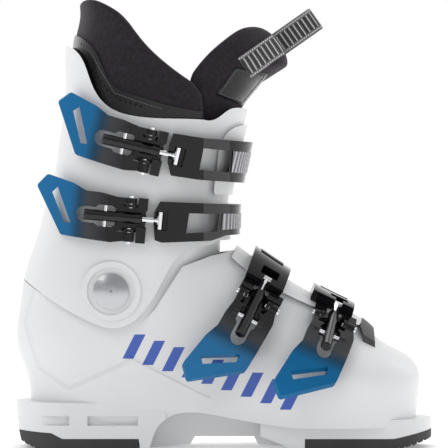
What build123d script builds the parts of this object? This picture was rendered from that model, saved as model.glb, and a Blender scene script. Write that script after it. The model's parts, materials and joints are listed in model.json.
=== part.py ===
from build123d import *
import math
import os

# Right-foot alpine ski boot, in millimetres. +X runs to the toe, +Y to the inner (medial) side and
# +Z up. The origin is the middle of the boot sole, on the ground. The buckles are on the -Y side.

# Sole, to the sizes of an alpine boot sole for adults
SOLE_LENGTH = 275
TOE_LUG_WIDTH = 69
HEEL_LUG_WIDTH = 68
TOE_LUG_TOP = 19.5
HEEL_LUG_TOP = 30.7
PAD_TOP = 7.2
HEEL_END = -SOLE_LENGTH / 2
TOE_END = SOLE_LENGTH / 2

# Walls and gaps
SHELL_WALL = 4.2
CUFF_WALL = 3.2
SLIP = 0.8          # gap between the cuff and the lower shell that turns inside it
TUCK_WALL = 3.0     # the lower shell's wall where the cuff covers it
FLAP_GAP = 0.3
FLAP_WALL = 2.2
FLAP_TOP = FLAP_GAP + FLAP_WALL
SOFT_GAP = 0.5
LINER_FOOT_WALL = 6.0
LINER_CUFF_WALL = 9.0
RACK_HEIGHT = 6.5

# Cuff pivot and its travel
PIVOT_X, PIVOT_Z = -73.1, 104.4
PIVOT_AXIS = Axis((PIVOT_X, 0, PIVOT_Z), (0, 1, 0))
FLEX = 4
LINER_SPLIT = 88    # radius about the pivot where the inner boot's foot part meets its upper part

# Levels of the lower shell's outside, from the sole up:
# height, back, front, and half widths at the heel, the waist, the ball and the toe
FOOT_LEVELS = [
    (12, -124, 124, 28, 27, 41, 34),
    (22, -127.5, 127.5, 32, 33, 46.5, 38),
    (36, -128, 129, 34.5, 37, 50.5, 42),
    (50, -131, 129, 36, 39.5, 51.5, 43),
    (60, -134.5, 122, 37.5, 42, 50, 39),
    (70, -136.8, 104, 38.5, 43.5, 46.5, 34),
    (82, -136.3, 91, 39, 44.5, 42, 27),
    (96, -134, 64, 38.5, 45, 40.5, 29),
    (110, -132.3, 39, 37.5, 45.3, 39.5, 29),
    (124, -129, 17.5, 36.5, 45.4, 39, 29),
    (140, -123, -1, 36.5, 45.4, 40, 29),
    (156, -118, -3, 37, 45.5, 40.5, 28),
    (180, -110, 0, 37.5, 46, 41.5, 29),
    (205, -106, 6, 38.5, 47.5, 43, 30),
]
# The same for the cuff, whose sides are widest at the middle
CUFF_LEVELS = [
    (66, -136, -4, 42, 49.4, 44, 31),
    (84, -135, -1.5, 42, 49.4, 44.5, 32),
    (100, -133.6, 0, 42, 49.4, 45, 32.5),
    (120, -129.8, 1, 42.5, 49.5, 45.5, 33),
    (140, -122.6, 1.8, 43, 49.8, 46, 34),
    (160, -117.7, 2.6, 44, 50.5, 46.5, 34.5),
    (182, -111.6, 6.2, 45.5, 52, 47.5, 35),
    (205, -108, 11.4, 47, 53.8, 49, 36),
    (225, -105.4, 16.4, 48, 55, 50, 37),
    (245, -104.2, 21, 49, 56, 51, 38),
    (268, -104, 26, 49.5, 56.5, 52, 39),
    (298, -104, 32, 49.5, 56.5, 52, 39),
]
FOOT_RISE_FROM = 55  # above this height the outside also faces up, so it grows upwards too
FOOT_RISE = 0.6


def ring(level, grow, rise):
    """One level of a boot body as a closed smooth curve, grown outwards by a distance."""
    height, back, front, heel, waist, ball, toe = level
    back, front, z = back - grow, front + grow, height + rise * grow
    stations = [(0.03, 0.52 * heel), (0.09, 0.83 * heel), (0.18, heel), (0.42, waist),
                (0.74, ball), (0.90, toe), (0.97, 0.62 * toe)]
    side = [(back + part * (front - back), width + grow) for part, width in stations]
    outer = [(x, -y, z) for x, y in side]
    inner = [(x, y, z) for x, y in reversed(side)]
    points = [(back, 0, z)] + outer + [(front, 0, z)] + inner
    return Wire([Edge.make_spline([Vector(*point) for point in points], periodic=True)])


def foot(grow=0):
    """The body of the foot, grown by a distance."""
    rings = [ring(level, grow, FOOT_RISE if level[0] > FOOT_RISE_FROM else 0)
             for level in FOOT_LEVELS]
    return Solid.make_loft(rings)


def leg(grow=0):
    """The body of the cuff, grown by a distance."""
    return Solid.make_loft([ring(level, grow, 0) for level in CUFF_LEVELS])


def side_block(*runs, near=-80, far=80):
    """A block with a side outline of corners (x, z) and smooth curves, which are lists of them."""
    edges, first, last = [], None, None
    for run in runs:
        points = [Vector(x, near, z) for x, z in (run if isinstance(run, list) else [run])]
        if last is not None and (points[0] - last).length > 1e-6:
            edges.append(Edge.make_line(last, points[0]))
        if len(points) > 1:
            edges.append(Edge.make_spline(points))
        first = first or points[0]
        last = points[-1]
    edges.append(Edge.make_line(last, first))
    return Solid.extrude(Face(Wire(edges)), Vector(0, far - near, 0))


def bend(solid, degrees):
    """A solid of the cuff's, turned forwards about the ankle pivot."""
    return solid.rotate(PIVOT_AXIS, degrees)


def tucked(gap):
    """The room inside the cuff that stays free of it over its whole travel."""
    inside = leg(-CUFF_WALL - gap)
    return inside & bend(inside, FLEX)


# Lower edge, in the side view, of the zone that the cuff covers at some point of its travel
COVERED_EDGE = [(-73, 76), (-58, 79), (-45, 92), (-27, 120), (-8, 127), (8, 130), (12, 138)]


def narrowed(solid, gap, drop=0):
    """A solid of the lower shell's, drawn in where the cuff turns over it."""
    covered = side_block((-160, 129.6 - drop), (-90, 82.1 - drop), *COVERED_EDGE, (12, 320), (-160, 320))
    return solid - (covered - tucked(gap))


# Lower shell: a hollow foot on a heel lug and a toe lug, open at the top ------------------------

FLOOR_AT_HEEL, FLOOR_AT_TOE = 29, 22   # where the boot board lies


def above_floor(lift):
    """Everything above the sloping floor of the shell, lifted by a distance."""
    return side_block((-150, FLOOR_AT_HEEL + lift), (140, FLOOR_AT_TOE + lift), (140, 330), (-150, 330))


def rounded_lug(width, end, back, bottom, top):
    """A sole lug: straight sides and a round end, as an extrusion of its plan."""
    half = width / 2
    sign = 1 if end > 0 else -1
    start = end - sign * half
    side = [Vector(back, -half, bottom), Vector(start, -half, bottom)]
    far = [Vector(start, half, bottom), Vector(back, half, bottom)]
    edges = [Edge.make_line(*side),
             Edge.make_three_point_arc(side[1], Vector(end, 0, bottom), far[0]),
             Edge.make_line(*far), Edge.make_line(far[1], side[0])]
    return Solid.extrude(Face(Wire(edges)), Vector(0, 0, top - bottom))


HEEL_LUG_SIDE = [(-137.5, HEEL_LUG_TOP), (-134.8, 12.2), (-112.7, 10.9), (-105.4, PAD_TOP),
                 (-55.6, PAD_TOP), (-54.4, 0), (-48.7, 0), [(-46.5, 7), (-43.5, 14.4), (-38, 20)],
                 (-38, HEEL_LUG_TOP)]
TOE_LUG_SIDE = [(140, TOE_LUG_TOP), (140, 13), (124.2, 9.8), (111.7, PAD_TOP), (53, PAD_TOP),
                (53, 0.3), (43.7, 1), (24, 9), (24, TOE_LUG_TOP)]
RIB_SIDE = [(-50, 30), (-48.7, 0), (-22, 2.5), (-19, 7.6), (20, 7.6), (22.6, 2.5), (43.7, 1), (53, 0.3),
            (53, 22)]
ARCH = [(-52, -5), [(-48.7, 0), (-44.1, 13.5), (-33, 22.8), (-20, 24.6), (0, 21.8), (24, 17.5), (53, 14.5)],
        (140, 14.5), (140, -5)]
RIB_HALF_WIDTH = 15
LUG_POCKETS = [(-120, -101), (-89, -56)]
POCKET_DEPTH, POCKET_HEIGHT, POCKET_AT = 3.5, 6.2, 19
# Top edge of the shell inside the cuff, from the front to the heel
SHELL_TOP = [(8, 142), [(2, 144), (-20, 152), (-50, 155), (-80, 154), (-105, 147), (-125, 135)], (-150, 120)]
# Outline of the slit between the two edges of the overlap
SLIT_SIDE = [(-6, 150), (-6, 120), (20, 100), (86, 74), (86, 84.5), (40, 112), (8, 138)]
SLIT_NEAR, SLIT_FAR = 3, 5
INSTEP_EDGE = [(5, 126), (14.7, 117.6), (50.3, 97.2), (88.6, 81)]


def make_heel_lug():
    lug = rounded_lug(HEEL_LUG_WIDTH, HEEL_END, -38, 0, HEEL_LUG_TOP) & side_block(*HEEL_LUG_SIDE)
    for start, end in LUG_POCKETS:
        pocket = Pos((start + end) / 2, 0, POCKET_AT) * Box(end - start, 100, POCKET_HEIGHT)
        core = Box(300, HEEL_LUG_WIDTH - 2 * POCKET_DEPTH, 100)
        lug -= pocket - core
    return lug


def make_toe_lug():
    return rounded_lug(TOE_LUG_WIDTH, TOE_END, 24, 0, TOE_LUG_TOP) & side_block(*TOE_LUG_SIDE)


def instep_layer(inner, outer, near=-80, far=80):
    """A layer over the instep, above the edge of the overlap and in front of the bent cuff."""
    region = side_block(INSTEP_EDGE, (97, 86), (97, 140), (13, 140), (8, 131), near=near, far=far)
    return (foot(outer) & region) - foot(inner)


def make_lower_shell():
    """The hollow foot with its two lugs, the rib under the arch and the overlap on the instep."""
    outside = narrowed(foot(), SLIP)
    body = outside - side_block(*ARCH)
    body += make_heel_lug() + make_toe_lug()
    body += side_block(*RIB_SIDE, near=-RIB_HALF_WIDTH, far=RIB_HALF_WIDTH)
    body -= narrowed(foot(-SHELL_WALL), SLIP + TUCK_WALL, drop=5) & above_floor(0)
    body &= side_block((-150, -5), (150, -5), (150, 100), *SHELL_TOP)
    body += instep_layer(-0.5, FLAP_WALL, near=9)
    body += instep_layer(FLAP_GAP, FLAP_WALL, far=9.5)
    slit = side_block(*SLIT_SIDE, near=SLIT_NEAR, far=SLIT_FAR)
    return body - (slit & foot(FLAP_GAP)) - seal_body(0)


# Soles, boot board and toe seal ------------------------------------------------------------------

TOOTH = 3.4     # pitch of the grip teeth
PAD_FACE = PAD_TOP - 0.05
HEEL_SCREWS = [(-112, -18), (-112, 18), (-70, -18), (-70, 18)]
TOE_SCREWS = [(66, -20), (66, 20), (104, -16), (104, 16)]
BOARD_THICK = 5


def make_heel_pad():
    pad = rounded_lug(HEEL_LUG_WIDTH, HEEL_END, -55.8, 0, 14)
    pad &= side_block((-134.9, 12), (-133.2, 5.4), (-129.5, 3.2), (-121.3, 0), (-55.8, 0),
                      (-55.8, PAD_FACE), (-105.4, PAD_FACE), (-112.7, 10.7))
    for step in range(3):
        x, z = -131 + TOOTH * step, 3.6 - 1.4 * step
        pad -= side_block((x, z + 1.6), (x + 1.4, z - 3), (x - 1.6, z - 3))
    return pad - sole_screws(HEEL_SCREWS)


def make_toe_pad():
    pad = rounded_lug(TOE_LUG_WIDTH, TOE_END, 53.2, 0, 14)
    pad &= side_block((53.2, 0), (112.4, 0), (124, 2.4), (136.8, 6.6), (139, 12.5), (124.2, 9.65),
                      (111.7, PAD_FACE), (53.2, PAD_FACE))
    for step in range(5):
        x, z = 114.5 + TOOTH * 1.25 * step, 0.6 + 1.1 * step
        pad -= side_block((x, z + 1.7), (x + 1.5, z - 3.5), (x - 1.5, z - 3.5))
    return pad - sole_screws(TOE_SCREWS)


def sole_screws(places):
    """Countersunk screws, sunk a little into the pad and driven up into the lug."""
    screws = []
    for x, y in places:
        screws.append(Pos(x, y, 2.6) * Cylinder(4, 2.2) + Pos(x, y, 9.5) * Cylinder(1.8, 12))
    return screws


def make_boot_board():
    """The flat board on the shell's floor that the inner boot stands on."""
    slab = side_block((-122, 5), (112, 5), (112, 60), (-122, 60)) - above_floor(BOARD_THICK + 0.1)
    return foot(-SHELL_WALL - SOFT_GAP) & above_floor(0.1) & slab


def seal_body(gap):
    """The rubber seal where the overlap meets the toe box."""
    region = side_block((89.6 + gap, 80.4), (93.9, 90), (99.2 - gap, 90), (99.2 - gap, 64.4 + gap),
                        (91.2 + gap, 67.7 + gap), (91.6 + gap, 74.3), near=-26, far=26)
    return (foot(FLAP_WALL + 0.6) & region) - foot(-2.2)


# Inner boot --------------------------------------------------------------------------------------

PIVOT_PLACE = Pos(PIVOT_X, 0, PIVOT_Z) * Rot(90, 0, 0)
LINER_FIT = CUFF_WALL + 1.6
TRIM_WALL = 1.0
INSOLE_THICK = 3.4
LINER_OPEN_FRONT = [(-48, 158), (30, 158), (30, 200), (-48, 200)]   # where the tongue closes the front


def make_liner_foot():
    """The foot part of the inner boot, which stays in the lower shell."""
    reach = PIVOT_PLACE * Cylinder(LINER_SPLIT - SOFT_GAP, 200)
    reach -= side_block(*LINER_OPEN_FRONT, near=-28, far=28)
    reach += side_block((-60, 0), (150, 0), (150, 125), (-60, 125))
    sock = narrowed(foot(-SHELL_WALL - SOFT_GAP), SLIP + TUCK_WALL + SOFT_GAP, drop=6) & above_floor(5.4)
    inner = foot(-SHELL_WALL - SOFT_GAP - LINER_FOOT_WALL)
    inner = narrowed(inner, SLIP + TUCK_WALL + SOFT_GAP + LINER_FOOT_WALL, drop=14) & above_floor(10)
    return (sock - inner) & reach


def make_insole():
    inner = foot(-SHELL_WALL - SOFT_GAP - LINER_FOOT_WALL - SOFT_GAP)
    slab = side_block((-115, 5), (108, 5), (108, 60), (-115, 60)) - above_floor(10.2 + INSOLE_THICK)
    return inner & above_floor(10.2) & slab


LINER_TOP = [[(-98.2, 284), (-96, 292), (-88.3, 294.7), (-79, 292), (-67.2, 284.8), (-57, 273),
              (-48.7, 263), (-38.8, 253.8), (-20, 240)]]
LINER_FRONT = [(-14, 232), (-8, 150), (-8, 60)]
TRIM_TOP = [[(-99, 272), (-90, 267), (-83, 259), (-77, 246), (-70, 236.6), (-56, 231), (-40, 226),
             (-14, 221)]]


def make_liner_cuff():
    """The upper part of the inner boot, which leans with the cuff."""
    region = side_block((-140, 60), (-140, 284), *LINER_TOP, *LINER_FRONT)
    region -= PIVOT_PLACE * Cylinder(LINER_SPLIT + SOFT_GAP, 200)
    return (leg(-LINER_FIT - TRIM_WALL) & region) - leg(-LINER_FIT - TRIM_WALL - LINER_CUFF_WALL)


def make_liner_trim():
    """The thin band of leather sewn round the upper part."""
    region = side_block((-140, 205), (-140, 272), *TRIM_TOP, (-14, 205))
    return (leg(-LINER_FIT) & region) - leg(-LINER_FIT - TRIM_WALL)


TONGUE_SIDE = [(-7, 170), (-12.5, 229), (-18, 240),
               [(-16, 246), (-6, 260), (4, 270.5), (14, 276), (24, 276.3), (34, 270), (41, 259), (42, 251),
                (38.5, 246), (33, 244), (28, 239)],
               [(28, 239), (19.5, 224), (12, 205), (6, 182)], (2, 166)]
# Height, front and half width of the tongue's outside, and height and front of the shin behind it
TONGUE_LEVELS = [(160, -8, 38), (182, -2, 38), (205, 4, 38), (225, 12.5, 38), (240, 24, 38), (252, 43, 42),
                 (262, 42, 42), (278, 30, 42)]
SHIN_LEVELS = [(158, -16), (205, -5), (225, 2), (245, 7), (262, 10), (280, 12)]
TONGUE_BACK = -100


def make_tongue():
    """A thick curved plate up the shin whose top rolls over to the front."""
    outside = [ring((z, TONGUE_BACK, front, 38, 41, half, 30), 0, 0) for z, front, half in TONGUE_LEVELS]
    shin = [ring((z, TONGUE_BACK, front, 28, 31, 29, 22), 0, 0) for z, front in SHIN_LEVELS]
    body = Solid.make_loft(outside, ruled=True) & side_block(*TONGUE_SIDE)
    return body - Solid.make_loft(shin, ruled=True)


LOOP_START, LOOP_RISE = (19, 253.7), 35
LOOP_LENGTH, LOOP_WIDTH, LOOP_GAP, STRAP = 50, 16, 13, 1.8


def make_pull_loop():
    """A loop of webbing, sewn flat to the tongue, that a finger goes through."""
    along = (math.cos(math.radians(LOOP_RISE)), 0, math.sin(math.radians(LOOP_RISE)))
    across = (-along[2], 0, along[0])
    plane = Plane(origin=(LOOP_START[0], 0, LOOP_START[1]), x_dir=along, z_dir=across)
    half = LOOP_GAP / 2 + STRAP
    outline = Pos(LOOP_LENGTH / 2, 0) * RectangleRounded(LOOP_LENGTH + 2 * STRAP, 2 * half, half - 0.1)
    room = Pos(LOOP_LENGTH / 2, 0) * RectangleRounded(LOOP_LENGTH, LOOP_GAP, LOOP_GAP / 2 - 0.1)
    return plane.location * Pos(0, 0, -LOOP_WIDTH / 2) * extrude(outline - room, LOOP_WIDTH)


# Cuff --------------------------------------------------------------------------------------------

CUFF_TOP = [[(-110, 264), (-101, 263.6), (-94.9, 259.1), (-87.6, 243.9), (-80, 229), (-71.8, 222.3),
             (-58, 218), (-32.2, 216.2), (-12.4, 215.5)],
            [(-12.4, 215.5), (-3.8, 216.8), (4.8, 222.8), (14, 223.1), (34, 216)]]
CUFF_FOOT = [(20, 138.5), (-1.8, 137), (-8, 134), [(-22.3, 131.7), (-29.5, 126.6), (-42.1, 105.9), (-51, 92),
             (-60, 83.6), (-73.1, 80.3), (-86, 84), (-108.7, 96), (-134, 112.6)], (-140, 116.8)]
FLAP_TABS = [((-6.4, 168), (-6.2, 172), (-2.6, 199), [(0, 204), (6, 210), (12.7, 212.4), (40, 213)],
              (40, 166.7), (-4.5, 166.7)),
             ((-8.4, 136.5), (-8.6, 158), (-6.5, 160.7), (40, 160.7), (40, 138.5), (-1.8, 137), (-6, 136.5))]
BOSS_RADIUS, RECESS_RADIUS = 19.4, 15.6
BOSS_FACE, RECESS_FLOOR = 50.9, 49.7


def cuff_layer(inner, outer, near=-80, far=80):
    """The flap of the cuff that laps over the front, with a tab for each rack."""
    layer = None
    for outline in FLAP_TABS:
        region = side_block(*outline, near=near, far=far)
        tab = (leg(outer) & region) - leg(inner)
        layer = tab if layer is None else layer + tab
    return layer


def make_cuff():
    """The upper shell: a wall round the leg, a boss and recess at each pivot, and the front flaps."""
    shape = side_block(*CUFF_TOP, *CUFF_FOOT)
    cuff = (leg() & shape) - leg(-CUFF_WALL)
    boss = PIVOT_PLACE * Cylinder(BOSS_RADIUS, 2 * BOSS_FACE) - leg(-1)
    recess = PIVOT_PLACE * (Cylinder(RECESS_RADIUS, 120) - Cylinder(RECESS_RADIUS + 1, 2 * RECESS_FLOOR))
    cuff += boss
    cuff -= recess
    cuff -= PIVOT_PLACE * Cylinder(PIVOT_RADIUS + 0.05, 200)
    cuff += cuff_layer(-0.5, FLAP_TOP, near=9)
    cuff += cuff_layer(FLAP_GAP, FLAP_TOP, far=9.5)
    slit = side_block((-20, 120), (50, 120), (50, 240), (-20, 240), near=SLIT_NEAR, far=SLIT_FAR)
    return cuff - (slit & leg(FLAP_GAP))


# Ankle pivots ------------------------------------------------------------------------------------

PIVOT_RADIUS = 6
PIVOT_HEAD = 9
DISC_RADIUS, DISC_CROWN, DISC_DOME = 11.5, 53.8, 37.6


def make_pivot_rivet(side):
    """A flanged rivet that the cuff turns on, set in the lower shell's wall."""
    parts = Pos(0, side * 45.8, 0) * Rot(90, 0, 0) * Cylinder(PIVOT_RADIUS, 9.4)
    parts += Pos(0, side * 50.4, 0) * Rot(90, 0, 0) * Cylinder(PIVOT_HEAD, 1.1)
    return Pos(PIVOT_X, 0, PIVOT_Z) * parts


def make_pivot_cap(side):
    """The domed disc that covers the rivet."""
    start = RECESS_FLOOR + 0.25
    disc = Pos(0, 0, start + 2.5) * Cylinder(DISC_RADIUS, 5)
    disc &= Pos(0, 0, DISC_CROWN - DISC_DOME) * Sphere(DISC_DOME)
    disc -= Pos(0, 0, start) * Cylinder(PIVOT_HEAD + 0.3, 2.2)
    return Pos(PIVOT_X, 0, PIVOT_Z) * Rot(90 if side < 0 else -90, 0, 0) * disc


# Buckles -----------------------------------------------------------------------------------------
# Each buckle is drawn flat in its own frame: x across the strap, y towards the lever's tail and
# z away from the boot, with the origin in the middle of the hinge.

HINGE_LIFT = 6.2
HOOK_REACH = -19.5
BAIL_AT = 16
PIN, BAIL_PIN, BARREL, ROD, BAR = 1.5, 1.3, 3.5, 2.0, 2.2   # radii
PIN_HEAD = 2.3
TURN_GAP = 0.06
LEVER_THICK = 3.0
LEVER_BEND, LEVER_BEND_RADIUS, LEVER_FLAT, LEVER_TAIL = 40, 38, 12, 45
SLOT_HALF, SLOT_END, SLOT_AT = 5.2, 22.4, 12.2      # the U-shaped slot that the barrel lies in
CROSS_SLOT = [(5, 9), (7, 11.5), (7, 20.5), (5, 23), (-5, 23), (-7, 20.5), (-7, 11.5), (-5, 9)]
ARM_TOP, ARM_FOOT = 13, -15.2
LEVER_OUTLINE = [(ARM_TOP, -3.8), (ARM_TOP, 8.5), (14.9, 19), (15.3, 29.4), (19.1, 37.7), (23.1, 54.7),
                 (14.9, 61.1), (-15.1, 43.4), (-16.6, 11.5), (ARM_FOOT, 3.8), (ARM_FOOT, -3.8)]
LEVER_WINDOW = [(11.7, 50.9), (15.4, 47.7), (-6.5, 37.8), (-7.3, 41.7)]


def across(x0, x1, radius, y=0, z=0):
    """A round bar across the strap, from x0 to x1."""
    return Pos((x0 + x1) / 2, y, z) * Rot(0, 90, 0) * Cylinder(radius, abs(x1 - x0))


def lengthways(y0, y1, radius):
    """A round bar along the strap, from y0 to y1."""
    return Pos(0, (y0 + y1) / 2, 0) * Rot(90, 0, 0) * Cylinder(radius, abs(y1 - y0))


def lever_plate():
    """The lever's bent plate: flat at the hinge, curved inwards round the boot, flat at the tail."""
    angle = math.radians(LEVER_BEND)
    centre_y, centre_z = LEVER_FLAT, -LEVER_BEND_RADIUS

    def on_arc(radius, turn):
        return (centre_y + radius * math.sin(turn), centre_z + radius * math.cos(turn))

    def on_tail(radius):
        y, z = on_arc(radius, angle)
        return (y + LEVER_TAIL * math.cos(angle), z - LEVER_TAIL * math.sin(angle))

    outer, inner = LEVER_BEND_RADIUS + LEVER_THICK / 2, LEVER_BEND_RADIUS - LEVER_THICK / 2
    section = Line((-6, LEVER_THICK / 2), on_arc(outer, 0))
    section += ThreePointArc(on_arc(outer, 0), on_arc(outer, angle / 2), on_arc(outer, angle))
    section += Polyline(on_arc(outer, angle), on_tail(outer), on_tail(inner), on_arc(inner, angle))
    section += ThreePointArc(on_arc(inner, angle), on_arc(inner, angle / 2), on_arc(inner, 0))
    section += Polyline(on_arc(inner, 0), (-6, -LEVER_THICK / 2), (-6, LEVER_THICK / 2))
    return Pos(-20, 0, 0) * extrude(Plane.YZ * make_face(section), 46)


def make_lever():
    """The lever: its bent plate with the slot and the window, and the two hinge knuckles."""
    plan = make_face(Polyline(*LEVER_OUTLINE, close=True))
    plan = fillet(plan.vertices().filter_by(lambda corner: corner.Y > 30 or abs(corner.X) > 16), 2.4)
    plan -= Pos(0, SLOT_AT) * RectangleRounded(2 * SLOT_HALF, 2 * SLOT_END, SLOT_HALF - 0.1)
    plan -= Pos(0, 0) * Rectangle(2 * 9.4, 15.6)
    plan -= make_face(Polyline(*CROSS_SLOT, close=True))
    plan -= make_face(Polyline(*LEVER_WINDOW, close=True))
    lever = lever_plate() & Pos(0, 0, -50) * extrude(plan, 60)
    for inside, outside in ((9.4, ARM_TOP), (-9.4, ARM_FOOT)):
        lever += across(inside, outside, 3.5)
        lever += across(math.copysign(7, inside), math.copysign(11, inside), 2.6, BAIL_AT)
    lever -= across(-20, 20, PIN + TURN_GAP)
    return lever - across(-8.8, 8.8, BAIL_PIN, BAIL_AT)


def make_lever_pins():
    """The two headed pins that the lever turns on."""
    pins = []
    for start, arm in ((6.6, ARM_TOP), (-6.6, ARM_FOOT)):
        head = arm + math.copysign(0.2, arm)
        pins.append(across(start, head, PIN) + across(head, head + math.copysign(1.3, arm), PIN_HEAD))
    return pins


def make_barrel():
    """The threaded barrel that the hook's rod screws into, turning on the bail pin."""
    barrel = chamfer(lengthways(-8, 30, BARREL).edges().filter_by(GeomType.CIRCLE), 0.7)
    barrel -= lengthways(-10, 9, ROD)
    return barrel - across(-5, 5, BAIL_PIN + TURN_GAP, BAIL_AT)


def make_hook():
    """The hook: a rod with a cross bar that drops into the rack."""
    return lengthways(9, HOOK_REACH, ROD) + across(-5.6, 5.6, BAR, HOOK_REACH)


def hook_room():
    """The groove that the hook's bar and rod drop into, open away from the boot."""
    bar = Pos(0, HOOK_REACH - 1.2, 8) * Box(12.2, 2 * BAR + 3.2, 2 * BAR + 16.8)
    rod = Pos(0, HOOK_REACH / 2 - 2, 8) * Box(2 * ROD + 1.2, 20, 2 * ROD + 17)
    return bar + rod


def make_base():
    """The moulded base: a plate under the barrel, two ears for the pins and a block each side in front."""
    plate = Pos(0, -0.7, -14.6) * Box(18, 19.6, 20)
    ears, blocks = None, None
    for inside, outside, edge in ((7, 9, ARM_TOP + 0.5), (-7, -9, ARM_FOOT - 0.5)):
        ear = Pos((inside + outside) / 2, 0, -8) * Box(2, 8.4, 16) + across(inside, outside, 4.2)
        ears = ear if ears is None else ears + ear
        front = (math.copysign(5.4, inside) + edge) / 2
        block = Pos(front, -7.9, -11.4) * Box(abs(edge) - 5.4, 6.2, 25.6)
        blocks = block if blocks is None else blocks + block
    base = plate + ears + blocks
    return base - across(-9.5, 9.5, PIN)


BASE_RIVETS_AT = (-6.5, 5.5)


def base_rivets():
    """Two rivets with flat heads, sunk in the base and driven into the wall."""
    rivets = []
    for y in BASE_RIVETS_AT:
        rivets.append(Pos(0, y, -5.2) * Cylinder(2.6, 1.0) + Pos(0, y, -7.3) * Cylinder(1.4, 3.4))
    return rivets


def frame_on(body, hinge, hook, hook_lift):
    """A buckle's frame from where its hinge and its hook stand in the side view."""
    stands = []
    for (x, z), lift in ((hinge, HINGE_LIFT), (hook, hook_lift)):
        point, normal = body.find_intersection_points(Axis((x, -200, z), (0, 1, 0)))[0]
        stands.append((point + normal * lift, normal))
    along = (stands[0][0] - stands[1][0]).normalized()
    facing = stands[0][1] + stands[1][1]
    outwards = (facing - along * facing.dot(along)).normalized()
    return Plane(origin=stands[0][0], x_dir=along.cross(outwards), z_dir=outwards)


# Hinge and hook in the side view, the rack's outline, and the outline and span across the boot of
# its window and of its catch plate
CUFF_BUCKLES = [
    dict(hinge=(-49.3, 197), hook=(-30.2, 192.4), hook_lift=6.4, far=5,
         rack=[(-36.2, 188), (-34.2, 179.4), (-15.7, 176.6), (14.5, 174.4), (26, 179), (26, 200.5),
               (-13, 203.6), (-32.4, 206.7), (-35.4, 199)],
         window=[(-13, 197), (4.6, 195.4), (3.4, 181.4), (-15.7, 183.2)], window_span=(-80, 5),
         plate=[(6.4, 195.2), (26, 193.6), (26, 180), (5.2, 181.4)], plate_span=(-80, 3.5)),
    dict(hinge=(-60.6, 152.1), hook=(-39.8, 150.2), hook_lift=6.4, far=5,
         rack=[(-45.4, 147), (-44.6, 137.6), (-40, 136), (-8, 137), (2, 140.4), (20, 141), (20, 160),
               (-41, 162.6), (-44.8, 156)],
         window=[(-22.3, 155), (-3, 154.2), (-4.2, 143), (-24.3, 142)], window_span=(-80, 5),
         plate=[(-0.4, 154.6), (20, 154), (20, 145), (-1.4, 144)], plate_span=(-80, 3.5)),
]
FOOT_BUCKLES = [
    dict(hinge=(19.6, 95.7), hook=(25.9, 108.6), hook_lift=6.4, far=12,
         rack=[(12.7, 110.6), (33.8, 97), (38.5, 103.5), (47, 124), (23.4, 138), (17.8, 124)],
         window=[(19, 112), (31, 104), (41, 124), (27, 136), (22, 122)], window_span=(-21, -12),
         plate=[(19, 112), (31, 104), (41, 124), (27, 136), (22, 122)], plate_span=(-9.5, 8)),
    dict(hinge=(68.8, 80.5), hook=(71.8, 92), hook_lift=9.2, far=22,
         rack=[(56.3, 90.2), (62.2, 86.1), (80, 80.2), (84, 86), (88.5, 104), (63.5, 116), (57, 100)],
         window=[(61, 92), (78, 84), (83.5, 102), (66, 112)], window_span=(-6, 3),
         plate=[(61, 92), (78, 84), (83.5, 102), (66, 112)], plate_span=(5.5, 19)),
]
HOOK_END = -12      # the rack stops here, short of the base


def rack_layer(body_at, outline, inner, outer, near, far):
    """A raised layer on a boot body between two distances from it, cut to an outline."""
    region = side_block(*outline, near=near, far=far)
    return (body_at(outer) & region) - body_at(inner)


def make_buckle(number, body_at, sizes):
    """All the pieces of one buckle by name, with its frame."""
    surface = body_at(0)
    frame = frame_on(surface, sizes["hinge"], sizes["hook"], sizes["hook_lift"])
    place = frame.location
    top = FLAP_TOP + RACK_HEIGHT
    rack = rack_layer(body_at, sizes["rack"], FLAP_TOP, top, -80, sizes["far"])
    rack -= side_block(*sizes["window"], near=sizes["window_span"][0], far=sizes["window_span"][1])
    rack -= place * hook_room()
    rack -= place * Pos(0, HOOK_END + 40, 0) * Box(90, 80, 80)
    plate = rack_layer(body_at, sizes["plate"], FLAP_TOP + 2.4, top + 0.5, *sizes["plate_span"])
    rivets = [place * rivet for rivet in base_rivets()]
    base = place * make_base() - surface
    if body_at is foot:
        base -= instep_layer(-0.5, FLAP_WALL)
    for rivet in rivets:
        base -= rivet
    pieces = {
        "rack": rack - plate,
        "rack_plate": plate,
        "buckle_base": base,
        "buckle_rivets": rivets,
        "lever_pins": [place * pin for pin in make_lever_pins()],
        "lever": place * make_lever(),
        "bail_pin": place * across(-8.8, 8.8, BAIL_PIN, BAIL_AT),
        "barrel": place * make_barrel(),
        "hook": place * make_hook(),
    }
    return {f"{name}_{number}": piece for name, piece in pieces.items()}, frame


# Assembly ----------------------------------------------------------------------------------------


def save(name, shape):
    """Write one sub-part; a list of solids is one node of like pieces."""
    if isinstance(shape, list):
        shape = Compound(children=[piece.solid() for piece in shape])
    export_step(shape, f"parts/{name}.step")


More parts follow.
